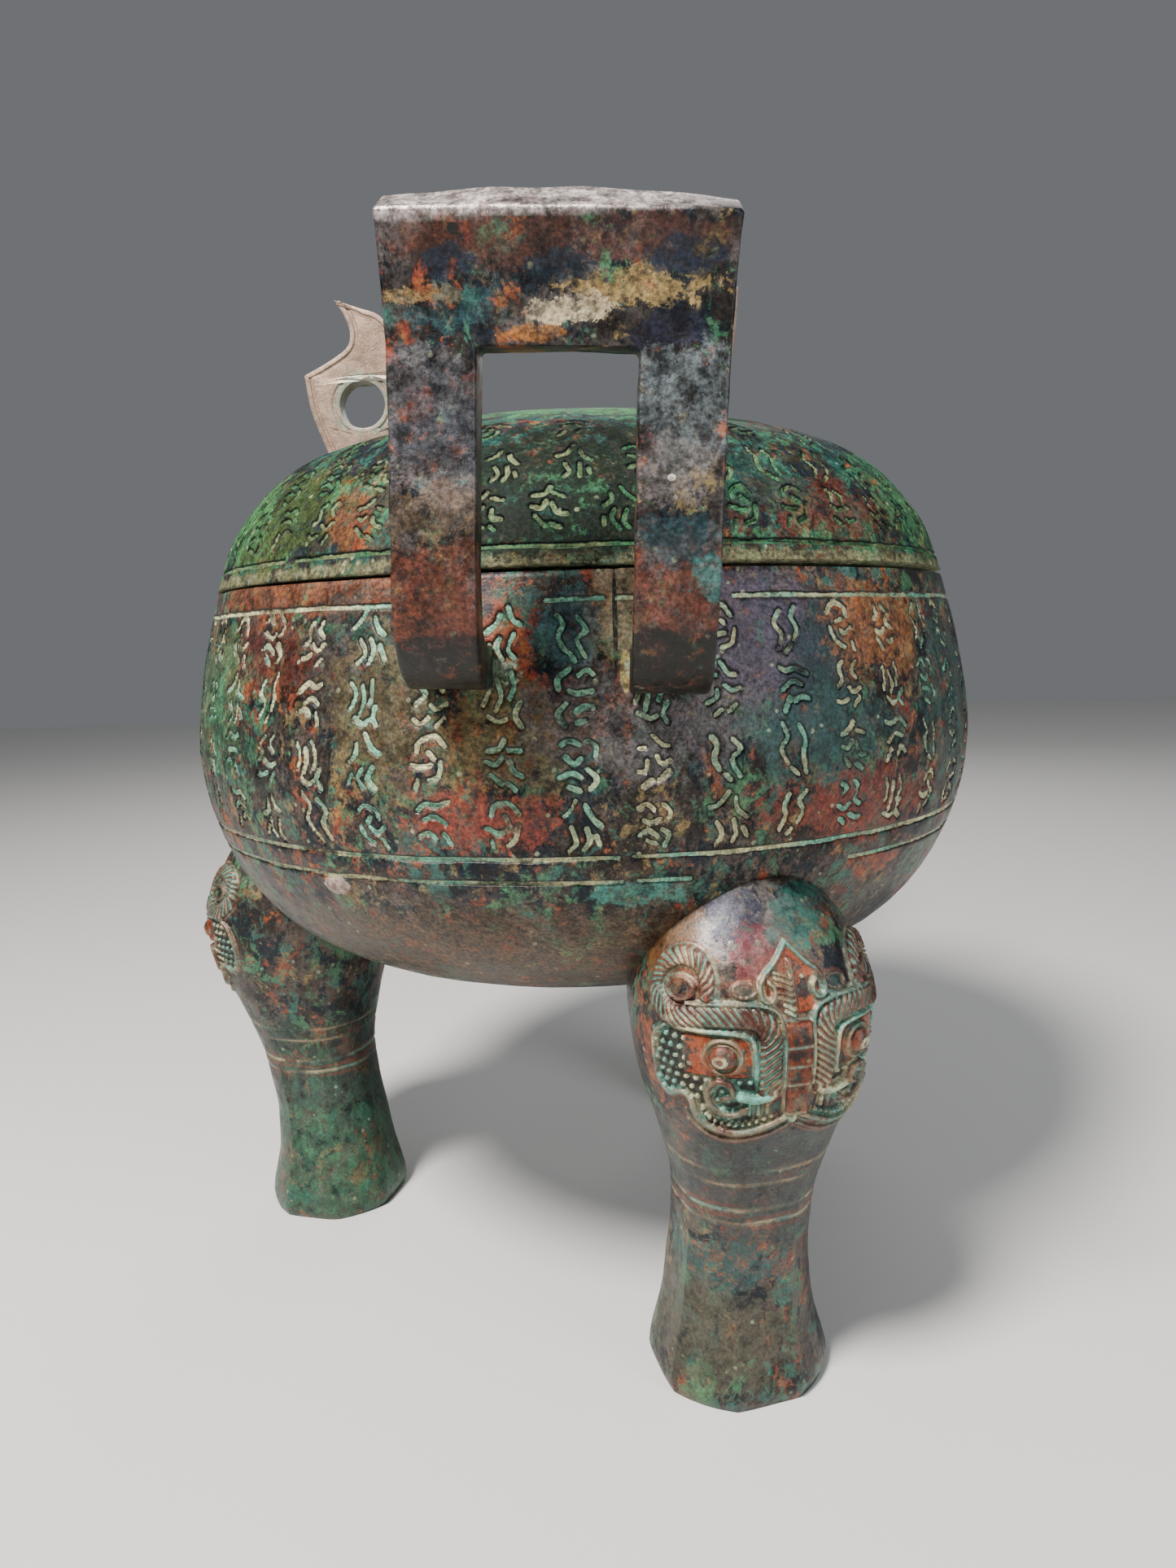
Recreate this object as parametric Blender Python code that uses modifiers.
"""A bronze ding: a round lidded cauldron on three hoof legs, with two bent upright handles.

The bowl, legs and handles are one casting, and the lid with its three ring knobs is another.
Metres, +Z up. The handles lie along Y, and the ground is z = 0.
"""

import math

import bmesh
import bpy
from mathutils import Matrix, Vector

# Bowl
BODY_RADIUS = 0.100
BELLY_Z = 0.138
UNDERSIDE_Z = 0.0795
RIM_Z = 0.175
RIM_RADIUS = 0.0931
WALL = 0.004
TURNED_SIDES = 32

# Incised lines round the bowl and the lid
LINE_WIDTH = 0.0018
LINE_DEPTH = 0.0007
UPPER_LINE_DROP = 0.0055  # below the rim
LOWER_LINE_DROP = 0.0172  # below the belly
LOWER_LINE_STEP = 0.0050
LID_LINE_RISE = 0.0045  # above the lid's edge

# Lid
SEAT_GAP = 0.0003
LID_HEIGHT = 0.0417
LID_WALL = 0.004
FLANGE_DEPTH = 0.008
FLANGE_WALL = 0.0035
FLANGE_CLEARANCE = 0.0008

# Knobs on the lid
KNOB_COUNT = 3
KNOB_TURN = math.radians(28.5)  # first knob, from -Y towards +X
KNOB_INSET = 0.0369  # hole's middle, in from the rim's radius
KNOB_RISE = 0.0144  # hole's middle above the lid
KNOB_HOLE_RADIUS = 0.0061
KNOB_RING = 0.0131  # hole's middle to the back of the ring
KNOB_THICKNESS = 0.0055
KNOB_CHAMFER = 0.0007

# Handles
HANDLE_WIDTH = 0.0534
HANDLE_FLARE = 0.0022  # extra width at the top
WINDOW_WIDTH = 0.0252
HANDLE_THICKNESS = 0.0082
HANDLE_STANDOFF = 0.0172  # strap's middle outside the belly
HANDLE_JOIN_DROP = 0.0182  # root's middle below the rim
HANDLE_RISE = 0.0526  # top's middle above the rim
WINDOW_RISE = 0.0325  # window's top above the rim
HANDLE_OUTSWEEP = 0.0066
HANDLE_TOP_SLANT = 0.08  # shares of the thickness
HANDLE_TOP_CROWN = 0.20
HANDLE_LEAN = math.radians(-2.6)
HANDLE_CHAMFER = 0.0011

# Legs
LEG_COUNT = 3
LEG_TURN = math.radians(24.2)  # first leg, from -Y towards +X
LEG_FACE_TURN = math.radians(-7.0)
LEG_INSET = 0.0151  # knee's middle, in from the belly
KNEE_DEPTH = 0.0486
KNEE_WIDTH = 0.0488
WAIST_DEPTH = 0.0300
WAIST_WIDTH = 0.0296
FOOT_DEPTH = 0.0376
FOOT_WIDTH = 0.0386
FOOT_TUCK = 0.0069  # how far the foot's middle stands inside the knee's
LEG_SQUARENESS = 2.3  # 2 is an ellipse
LEG_SIDES = 16

# Relief of the mask on each knee
BROW_RADIUS = 0.0019
JAW_RADIUS = 0.0012
CURL_RADIUS = 0.0010
EYE_RADIUS = 0.0034
EYE_RISE = 0.0022
NOSE_RISE = 0.0014
FOREHEAD_RISE = 0.0009

PATINA = (0.17, 0.12, 0.085)
LID_PATINA = (0.15, 0.17, 0.10)


def clear_scene():
    for item in list(bpy.data.objects):
        bpy.data.objects.remove(item)


def make_collection(name):
    collection = bpy.data.collections.new(name)
    bpy.context.scene.collection.children.link(collection)
    return collection


def bronze(name, colour):
    material = bpy.data.materials.new(name)
    material.use_nodes = True
    shader = material.node_tree.nodes["Principled BSDF"]
    shader.inputs["Base Color"].default_value = (*colour, 1.0)
    shader.inputs["Metallic"].default_value = 0.6
    shader.inputs["Roughness"].default_value = 0.55
    return material


def smooth_path(points, steps):
    """Points of a smooth curve through the given ones, with steps between each two."""
    points = [Vector(point) for point in points]
    padded = [2 * points[0] - points[1], *points, 2 * points[-1] - points[-2]]
    path = []
    for before, start, end, after in zip(padded, padded[1:], padded[2:], padded[3:]):
        for step in range(steps):
            t = step / steps
            pull = (end - before) * t * (1 - t) ** 2 / 2 - (after - start) * t * t * (1 - t) / 2
            path.append(start.lerp(end, t * t * (3 - 2 * t)) + pull)
    return [*path, points[-1]]


def blend(stations, share):
    """Value at a share of the way through smoothed (share, value) stations."""
    path = smooth_path([(*station, 0.0) for station in stations], 4)
    for left, right in zip(path, path[1:]):
        if share <= right.x:
            return left.y + (right.y - left.y) * (share - left.x) / (right.x - left.x)
    return path[-1].y


def add_object(name, mesh, collection, cutter=False):
    item = bpy.data.objects.new(name, mesh)
    collection.objects.link(item)
    if cutter:
        item.hide_render = True
        item.display_type = "WIRE"
    return item


def turned(name, profile, collection, cutter=False):
    """Solid of revolution: the profile runs down its outer side."""
    mesh = bpy.data.meshes.new(name)
    edges = [(i, i + 1) for i in range(len(profile) - 1)]
    mesh.from_pydata([(radius, 0.0, z) for radius, z in profile], edges, [])
    item = add_object(name, mesh, collection, cutter)
    screw = item.modifiers.new("Turn", "SCREW")
    screw.axis = "Z"
    screw.steps = TURNED_SIDES
    screw.render_steps = TURNED_SIDES
    screw.use_merge_vertices = True
    screw.merge_threshold = 0.00001
    return item


def evaluated_mesh(item):
    """The item as a plain mesh in world space, with loose caps welded."""
    graph = bpy.context.evaluated_depsgraph_get()
    mesh = bpy.data.meshes.new_from_object(item.evaluated_get(graph))
    mesh.transform(item.matrix_world)
    cage = bmesh.new()
    cage.from_mesh(mesh)
    bmesh.ops.remove_doubles(cage, verts=cage.verts, dist=0.00001)
    bmesh.ops.recalc_face_normals(cage, faces=cage.faces)
    cage.to_mesh(mesh)
    cage.free()
    return mesh


def join(item, operation, pieces):
    modifier = item.modifiers.new(operation.title(), "BOOLEAN")
    modifier.operation = operation
    modifier.solver = "EXACT"
    modifier.operand_type = "COLLECTION"
    modifier.collection = pieces


def side_radius(z, radius, rim_radius, base_z):
    """Radius of the bowl's side: a squared-off belly below, a slow taper to the rim above."""
    if z >= BELLY_Z:
        share = (z - BELLY_Z) / (RIM_Z - BELLY_Z)
        return radius - (radius - rim_radius) * share ** 1.6
    share = min(1.0, (BELLY_Z - z) / (BELLY_Z - base_z))
    return radius * (1 - share ** 1.9) ** (1 / 4.1)


def bowl_radius(z):
    return side_radius(z, BODY_RADIUS, RIM_RADIUS, UNDERSIDE_Z)


def groove(radius_at, z):
    """Three profile points of an incised line, from its upper edge down."""
    upper = z + LINE_WIDTH / 2
    lower = z - LINE_WIDTH / 2
    return [(radius_at(upper), upper), (radius_at(z) - LINE_DEPTH, z), (radius_at(lower), lower)]


def bowl_profile():
    """Outer side of the bowl, from the rim down to the middle of the underside."""
    first_line = BELLY_Z - LOWER_LINE_DROP
    lines = [RIM_Z - UPPER_LINE_DROP, first_line, first_line - LOWER_LINE_STEP]
    heights = [RIM_Z + (BELLY_Z - RIM_Z) * share for share in (0, 0.4, 0.62, 0.82, 1)]
    depth = BELLY_Z - UNDERSIDE_Z
    heights += [BELLY_Z - depth * share for share in (0.18, 0.48, 0.62, 0.76, 0.87, 0.94, 0.985)]
    spare = LINE_WIDTH
    profile = [(bowl_radius(z), z) for z in heights if all(abs(z - line) > spare for line in lines)]
    for line in lines:
        profile += groove(bowl_radius, line)
    profile.sort(key=lambda point: -point[1])
    return [(0.0, RIM_Z), *profile, (0.0, UNDERSIDE_Z)]


def cavity_profile():
    """The bowl's hollow, left open through the rim."""
    base_z = UNDERSIDE_Z + WALL
    depth = BELLY_Z - base_z
    heights = [RIM_Z + (BELLY_Z - RIM_Z) * share for share in (0, 0.5, 1)]
    heights += [BELLY_Z - depth * share for share in (0.4, 0.66, 0.84, 0.95)]
    profile = [(side_radius(z, BODY_RADIUS - WALL, RIM_RADIUS - WALL, base_z), z) for z in heights]
    above = RIM_Z + WALL
    return [(0.0, above), (profile[0][0], above), *profile, (0.0, base_z)]


LID_CURVE = ((0, 1), (0.12, 0.984), (0.364, 0.934), (0.658, 0.812), (0.825, 0.643), (0.947, 0.403), (1, 0))


def lid_radius(z):
    share = (z - RIM_Z - SEAT_GAP) / LID_HEIGHT
    return RIM_RADIUS * blend(LID_CURVE, max(0.0, min(1.0, share)))


def lid_height_at(radius):
    """Height of the lid's outside over a given radius."""
    low, high = 0.0, LID_HEIGHT
    for _ in range(30):
        middle = (low + high) / 2
        if lid_radius(RIM_Z + SEAT_GAP + middle) > radius:
            low = middle
        else:
            high = middle
    return RIM_Z + SEAT_GAP + low


def lid_profile():
    """Outside of the dome down to its edge, then in under it, round the flange and back up."""
    seat = RIM_Z + SEAT_GAP
    line = seat + LID_LINE_RISE
    outer = [(0.0, seat + LID_HEIGHT)]
    outer += [(lid_radius(seat + LID_HEIGHT * share), seat + LID_HEIGHT * share)
              for share in (0.985, 0.93, 0.84, 0.72, 0.56, 0.38, 0.22)]
    outer += groove(lid_radius, line)
    outer += [(RIM_RADIUS, seat)]
    flange_out = RIM_RADIUS - WALL - FLANGE_CLEARANCE
    flange_in = flange_out - FLANGE_WALL
    flange = [(flange_out, seat), (flange_out, seat - FLANGE_DEPTH), (flange_in, seat - FLANGE_DEPTH)]
    dome = LID_HEIGHT - LID_WALL
    shares = (0.1, 0.4, 0.66, 0.84, 0.96)
    inner = [(flange_in * blend(LID_CURVE, share), seat + dome * share) for share in shares]
    return [*outer, *flange, *inner, (0.0, seat + dome)]


def radial_frame(angle):
    """Turns X to point outward at an angle counted from -Y towards +X."""
    return Matrix.Rotation(angle - math.pi / 2, 4, "Z")


def knob_outline():
    """Ring with a corner low on its outer side and a horn that sweeps out above it."""
    ring = KNOB_RING
    root = -KNOB_RISE - LID_WALL / 2
    outer = [(0.62 * ring, root), (0.86 * ring, -0.65 * ring), (1.06 * ring, -0.05 * ring)]
    sweep = [(1.15 * ring, 0.60 * ring), (0.66 * ring, 0.84 * ring), (0.26 * ring, 1.10 * ring),
             (0.17 * ring, 1.40 * ring), (0.28 * ring, 1.75 * ring), (0.46 * ring, 2.02 * ring)]
    crest = [(-0.02 * ring, 1.86 * ring), (-0.48 * ring, 1.66 * ring), (-0.82 * ring, 1.10 * ring),
             (-0.99 * ring, 0.45 * ring), (-1.00 * ring, -0.20 * ring), (-0.84 * ring, -0.80 * ring),
             (-0.66 * ring, root)]
    runs = [smooth_path([(*point, 0.0) for point in run], 2)
            for run in (outer + sweep[:1], sweep, sweep[-1:] + crest)]
    return [point for run in runs for point in run[:-1]] + [runs[-1][-1]]


def knob(angle, collection):
    """One knob: a flat curve outline with its hole, stood on the lid in a radial plane."""
    curve = bpy.data.curves.new("Knob", "CURVE")
    curve.dimensions = "2D"
    curve.fill_mode = "BOTH"
    curve.bevel_depth = KNOB_CHAMFER
    curve.bevel_resolution = 0
    curve.extrude = KNOB_THICKNESS / 2 - KNOB_CHAMFER
    inset = KNOB_CHAMFER
    hole = [Vector((math.cos(turn), math.sin(turn), 0.0)) * (KNOB_HOLE_RADIUS + inset)
            for turn in (2 * math.pi * i / 14 for i in range(14))]
    for loop in (knob_outline(), hole):
        spline = curve.splines.new("POLY")
        spline.points.add(len(loop) - 1)
        for point, place in zip(spline.points, loop):
            point.co = (place.x, place.y, 0.0, 1.0)
        spline.use_cyclic_u = True
    item = add_object("Knob", curve, collection)
    radius = RIM_RADIUS - KNOB_INSET
    upright = Matrix.Translation((radius, 0, lid_height_at(radius) + KNOB_RISE))
    item.matrix_world = radial_frame(angle) @ upright @ Matrix.Rotation(math.pi / 2, 4, "X")
    bpy.context.view_layer.update()
    mesh = evaluated_mesh(item)
    bpy.data.objects.remove(item)
    return mesh


def handle_path():
    """Middle line of a handle in its radial plane, from inside the wall to the top."""
    root_z = RIM_Z - HANDLE_JOIN_DROP
    root = bowl_radius(root_z) - WALL * 0.6
    upright = BODY_RADIUS + HANDLE_STANDOFF
    top_z = RIM_Z + HANDLE_RISE
    bend = HANDLE_THICKNESS
    return [(root, 0, root_z), ((root + upright) / 2 - bend * 0.1, 0, root_z + bend * 0.04),
            (upright - bend * 0.65, 0, root_z + bend * 0.4),
            (upright - bend * 0.08, 0, root_z + bend * 1.25),
            (upright, 0, RIM_Z + HANDLE_RISE * 0.10),
            (upright, 0, RIM_Z + HANDLE_RISE * 0.38),
            (upright + HANDLE_OUTSWEEP * 0.16, 0, RIM_Z + HANDLE_RISE * 0.66),
            (upright + HANDLE_OUTSWEEP * 0.48, 0, RIM_Z + HANDLE_RISE * 0.84),
            (upright + HANDLE_OUTSWEEP, 0, top_z)]


def handle_rows(path, window_row):
    """For each place on the path, its outer corners across the handle and their inner ones."""
    last = len(path) - 1
    for row, place in enumerate(path):
        along = (path[min(row + 1, last)] - path[max(row - 1, 0)]).normalized()
        outward = Vector((1, 0, 0)) if row == window_row else Vector((along.z, 0, -along.x))
        tip = max(0.0, (row - window_row) / (last - window_row))
        slant = along * (HANDLE_TOP_SLANT * tip * HANDLE_THICKNESS)
        outer = place + outward * HANDLE_THICKNESS / 2 - slant
        inner = place - outward * HANDLE_THICKNESS / 2 + slant
        share = max(0.0, (place.z - RIM_Z) / HANDLE_RISE)
        half = (HANDLE_WIDTH + HANDLE_FLARE * share ** 2) / 2
        crown = HANDLE_TOP_CROWN * HANDLE_THICKNESS if row == last else 0.0
        columns = [Vector((0, y, 0)) for y in (-half, -WINDOW_WIDTH / 2, 0.0, WINDOW_WIDTH / 2, half)]
        yield [(outer + y, inner + y + along * crown * (1 - (y.y / half) ** 2)) for y in columns]


def handle_mesh():
    """A bent plate with a window open at the bottom: its outer face, extruded to its inner one."""
    path = smooth_path(handle_path(), 2)
    window_row = min(range(len(path)), key=lambda i: abs(path[i].z - RIM_Z - WINDOW_RISE))
    path[window_row] = Vector((path[window_row].x, 0, RIM_Z + WINDOW_RISE))
    cage = bmesh.new()
    rows = []
    inner_of = {}
    for corners in handle_rows(path, window_row):
        rows.append([cage.verts.new(outer) for outer, _ in corners])
        inner_of.update({tuple(vert.co): inner for vert, (_, inner) in zip(rows[-1], corners)})
    for row, (lower, upper) in enumerate(zip(rows, rows[1:])):
        for column in range(4):
            in_window = row < window_row and column in (1, 2)
            if not in_window:
                cage.faces.new((lower[column], lower[column + 1], upper[column + 1], upper[column]))
    bmesh.ops.delete(cage, geom=[vert for vert in cage.verts if not vert.link_faces], context="VERTS")
    grown = bmesh.ops.extrude_face_region(cage, geom=list(cage.faces), use_keep_orig=True)
    for vert in (item for item in grown["geom"] if isinstance(item, bmesh.types.BMVert)):
        vert.co = inner_of[tuple(vert.co)]
    bmesh.ops.recalc_face_normals(cage, faces=cage.faces)
    rim = Vector((0, 0, RIM_Z))
    lean = Matrix.Translation(rim) @ Matrix.Rotation(HANDLE_LEAN, 4, "X") @ Matrix.Translation(-rim)
    bmesh.ops.transform(cage, matrix=lean, verts=cage.verts)
    mesh = bpy.data.meshes.new("Handle")
    cage.to_mesh(mesh)
    cage.free()
    return mesh


def leg_top():
    """The knee ends just under the lower incised lines."""
    return BELLY_Z - LOWER_LINE_DROP - LOWER_LINE_STEP - LINE_WIDTH


# Shares of the leg's height, and at each the shares from waist size (0) to knee size (1)
LEG_SHARES = (0, 0.035, 0.13, 0.235, 0.32, 0.42, 0.525, 0.61, 0.70, 0.77, 0.84, 0.91, 0.96, 1)
KNEE_SHARE_OF_WIDTH = (0, 0, 0, 0, 0, 0.06, 0.40, 0.73, 0.94, 1, 0.88, 0.54, 0.02, -0.62)
KNEE_SHARE_OF_DEPTH = (0, 0, 0, 0, 0, 0.10, 0.42, 0.77, 0.98, 1, 0.77, 0.30, -0.20, -0.72)
FOOT_SHARE = (0.82, 0.96, 0.36, 0.06, 0, 0, 0, 0, 0, 0, 0, 0, 0, 0)
INWARD_SHARE = (1, 1, 0.99, 0.86, 0.62, 0.38, 0.22, 0.08, 0, 0, 0.03, -0.05, -0.21, -0.42)


def leg_section(share):
    """Middle, half depth and half width of a leg at a share of its height."""
    knee_width = blend(tuple(zip(LEG_SHARES, KNEE_SHARE_OF_WIDTH)), share)
    knee_depth = blend(tuple(zip(LEG_SHARES, KNEE_SHARE_OF_DEPTH)), share)
    foot = blend(tuple(zip(LEG_SHARES, FOOT_SHARE)), share)
    inward = blend(tuple(zip(LEG_SHARES, INWARD_SHARE)), share)
    width = WAIST_WIDTH + (KNEE_WIDTH - WAIST_WIDTH) * knee_width + (FOOT_WIDTH - WAIST_WIDTH) * foot
    depth = WAIST_DEPTH + (KNEE_DEPTH - WAIST_DEPTH) * knee_depth + (FOOT_DEPTH - WAIST_DEPTH) * foot
    return -FOOT_TUCK * inward, depth / 2, width / 2


def leg_point(turn, z, lift=0.0):
    """Point on a leg, by its turn from the leg's face and its height, lifted off the surface."""
    share = z / leg_top()
    middle, depth, width = leg_section(share)
    across = abs(math.cos(turn) / depth) ** LEG_SQUARENESS + abs(math.sin(turn) / width) ** LEG_SQUARENESS
    reach = across ** (-1 / LEG_SQUARENESS)
    eighth = math.pi / 4
    octagon = 1.04 * math.cos(eighth / 2) / math.cos((turn + eighth / 2) % eighth - eighth / 2)
    facets = max(0.0, min(1.0, 1.5 - 2.5 * share))
    reach = reach * (1 - facets + facets * octagon) + lift
    return Vector((middle + reach * math.cos(turn), reach * math.sin(turn), z))


def leg_mesh():
    """Loft through the leg's sections, faceted at the hoof and round at the knee."""
    shares = (0, 0.03, 0.10, 0.20, 0.32, 0.44, 0.53, 0.61, 0.69, 0.77, 0.84, 0.90, 0.95, 1)
    cage = bmesh.new()
    rings = []
    for share in shares:
        z = share * leg_top()
        turns = (2 * math.pi * i / LEG_SIDES for i in range(LEG_SIDES))
        rings.append([cage.verts.new(leg_point(turn, z)) for turn in turns])
    for lower, upper in zip(rings, rings[1:]):
        for i in range(LEG_SIDES):
            j = (i + 1) % LEG_SIDES
            cage.faces.new((lower[i], lower[j], upper[j], upper[i]))
    cage.faces.new(rings[0][::-1])
    cage.faces.new(rings[-1])
    mesh = bpy.data.meshes.new("Leg")
    cage.to_mesh(mesh)
    cage.free()
    return mesh


def on_mask(turn_degrees, height, lift=0.0):
    """Point of the mask: turn from its nose, and height as a share from its chin to its crown."""
    chin, crown = 0.58 * leg_top(), 0.90 * leg_top()
    return leg_point(math.radians(turn_degrees), chin + (crown - chin) * height, lift)


# Runs of relief: turn from the nose in degrees, share of the mask's height, and a spare zero
BROW = ((13, 0.28, 0), (13, 0.44, 0), (12.5, 0.58, 0), (18, 0.67, 0), (31, 0.68, 0),
        (45, 0.67, 0), (58, 0.65, 0), (67, 0.70, 0), (71, 0.80, 0), (66, 0.91, 0),
        (57, 0.95, 0), (47, 0.92, 0), (41, 0.84, 0))
JAW = ((70, 0.30, 0), (60, 0.19, 0), (50, 0.13, 0), (43, 0.05, 0), (34, 0.01, 0),
       (20, 0.02, 0), (8, 0.08, 0))
CURL = ((24, 0.21, 0), (28, 0.15, 0), (34, 0.16, 0), (37, 0.23, 0), (33, 0.28, 0),
        (30, 0.24, 0))


def relief_tube(name, stations, radius, steps, sides, side, collection):
    """A rounded cord of relief that follows the knee's surface."""
    curve = bpy.data.curves.new(name, "CURVE")
    curve.dimensions = "3D"
    curve.bevel_depth = radius
    curve.bevel_resolution = sides // 2 - 2
    curve.use_fill_caps = True
    places = [on_mask(side * station.x, station.y, -radius * 0.3)
              for station in smooth_path(stations, steps)]
    spline = curve.splines.new("POLY")
    spline.points.add(len(places) - 1)
    for point, place in zip(spline.points, places):
        point.co = (*place, 1.0)
    item = add_object(name, curve, collection)
    bpy.context.view_layer.update()
    mesh = evaluated_mesh(item)
    bpy.data.objects.remove(item)
    return mesh


def relief_plate(corners, rise, taper):
    """A low raised plate: its outline on the knee, and a smaller one lifted above it."""
    middle_turn = sum(turn for turn, _ in corners) / len(corners)
    middle_height = sum(height for _, height in corners) / len(corners)
    cage = bmesh.new()
    low = [cage.verts.new(on_mask(turn, height, -2 * rise)) for turn, height in corners]
    high = [cage.verts.new(on_mask(middle_turn + (turn - middle_turn) * taper,
                                   middle_height + (height - middle_height) * taper, rise))
            for turn, height in corners]
    for i in range(len(corners)):
        j = (i + 1) % len(corners)
        cage.faces.new((low[i], low[j], high[j], high[i]))
    cage.faces.new(low[::-1])
    cage.faces.new(high)
    bmesh.ops.recalc_face_normals(cage, faces=cage.faces)
    mesh = bpy.data.meshes.new("Plate")
    cage.to_mesh(mesh)
    cage.free()
    return mesh


def eye_mesh(side):
    """Round boss of an eye, pressed flat against the knee."""
    cage = bmesh.new()
    bmesh.ops.create_uvsphere(cage, u_segments=8, v_segments=4, radius=1.0)
    centre = on_mask(side * 33, 0.46)
    out = Vector((math.cos(math.radians(side * 33)), math.sin(math.radians(side * 33)), 0))
    facing = out.to_track_quat("Z", "Y").to_matrix().to_4x4()
    size = Matrix.Diagonal((EYE_RADIUS, EYE_RADIUS, EYE_RISE, 1))
    bmesh.ops.transform(cage, matrix=Matrix.Translation(centre) @ facing @ size, verts=cage.verts)
    mesh = bpy.data.meshes.new("Eye")
    cage.to_mesh(mesh)
    cage.free()
    return mesh


def mask_meshes(collection):
    meshes = []
    for side in (-1, 1):
        meshes.append(relief_tube("Brow", BROW, BROW_RADIUS, 1, 6, side, collection))
        meshes.append(relief_tube("Jaw", JAW, JAW_RADIUS, 1, 4, side, collection))
        meshes.append(relief_tube("Curl", CURL, CURL_RADIUS, 1, 4, side, collection))
        meshes.append(eye_mesh(side))
    steps = (0.16, 0.29, 0.40, 0.51, 0.62)
    for low, high in zip(steps, steps[1:]):
        corners = ((-6.5, low), (6.5, low), (6.5, high + 0.005), (-6.5, high + 0.005))
        meshes.append(relief_plate(corners, NOSE_RISE * (1.6 - low), 0.86))
    forehead = ((0, 0.70), (9, 0.76), (13, 0.88), (0, 1.0), (-13, 0.88), (-9, 0.76))
    meshes.append(relief_plate(forehead, FOREHEAD_RISE, 0.74))
    return meshes


def shift_to_middle(item):
    """Move that puts the middle of the item's footprint over the origin."""
    mesh = item.evaluated_get(bpy.context.evaluated_depsgraph_get()).data
    xs = [vertex.co.x for vertex in mesh.vertices]
    ys = [vertex.co.y for vertex in mesh.vertices]
    return Matrix.Translation((-(min(xs) + max(xs)) / 2, -(min(ys) + max(ys)) / 2, 0))


def build():
    clear_scene()
    parts = make_collection("Bronze ding vessel")
    cutters = make_collection("Cutters")
    joined = make_collection("Legs and handles")
    knobs = make_collection("Knobs")
    hollow = make_collection("Hollow")

    vessel = turned("vessel", bowl_profile(), parts)
    vessel.data.materials.append(bronze("Mottled bronze", PATINA))
    out = Matrix.Translation((BODY_RADIUS - LEG_INSET, 0, 0)) @ Matrix.Rotation(LEG_FACE_TURN, 4, "Z")
    leg_parts = [leg_mesh(), *mask_meshes(cutters)]
    for number in range(LEG_COUNT):
        angle = LEG_TURN + 2 * math.pi * number / LEG_COUNT
        for mesh in leg_parts:
            item = add_object(f"{mesh.name} {number + 1}", mesh, joined, cutter=True)
            item.matrix_world = radial_frame(angle) @ out
    handle = handle_mesh()
    for number, angle in enumerate((0.0, math.pi)):
        item = add_object(f"Handle {number + 1}", handle, joined, cutter=True)
        item.matrix_world = radial_frame(angle)
        bevel = item.modifiers.new("Worn edges", "BEVEL")
        bevel.width = HANDLE_CHAMFER
        bevel.segments = 1
        bevel.limit_method = "ANGLE"
        bevel.angle_limit = math.radians(50)
    turned("Hollow of the bowl", cavity_profile(), hollow, cutter=True)
    join(vessel, "UNION", joined)
    join(vessel, "DIFFERENCE", hollow)

    lid = turned("lid", lid_profile(), parts)
    lid.data.materials.append(bronze("Green bronze", LID_PATINA))
    for number in range(KNOB_COUNT):
        angle = KNOB_TURN + 2 * math.pi * number / KNOB_COUNT
        add_object(f"Knob {number + 1}", knob(angle, cutters), knobs, cutter=True)
    join(lid, "UNION", knobs)

    bpy.context.view_layer.update()
    shift = shift_to_middle(vessel)
    for collection in (parts, joined, knobs, hollow):
        for item in collection.objects:
            item.matrix_world = shift @ item.matrix_world
    for item in parts.objects:
        item.data.shade_smooth()


build()
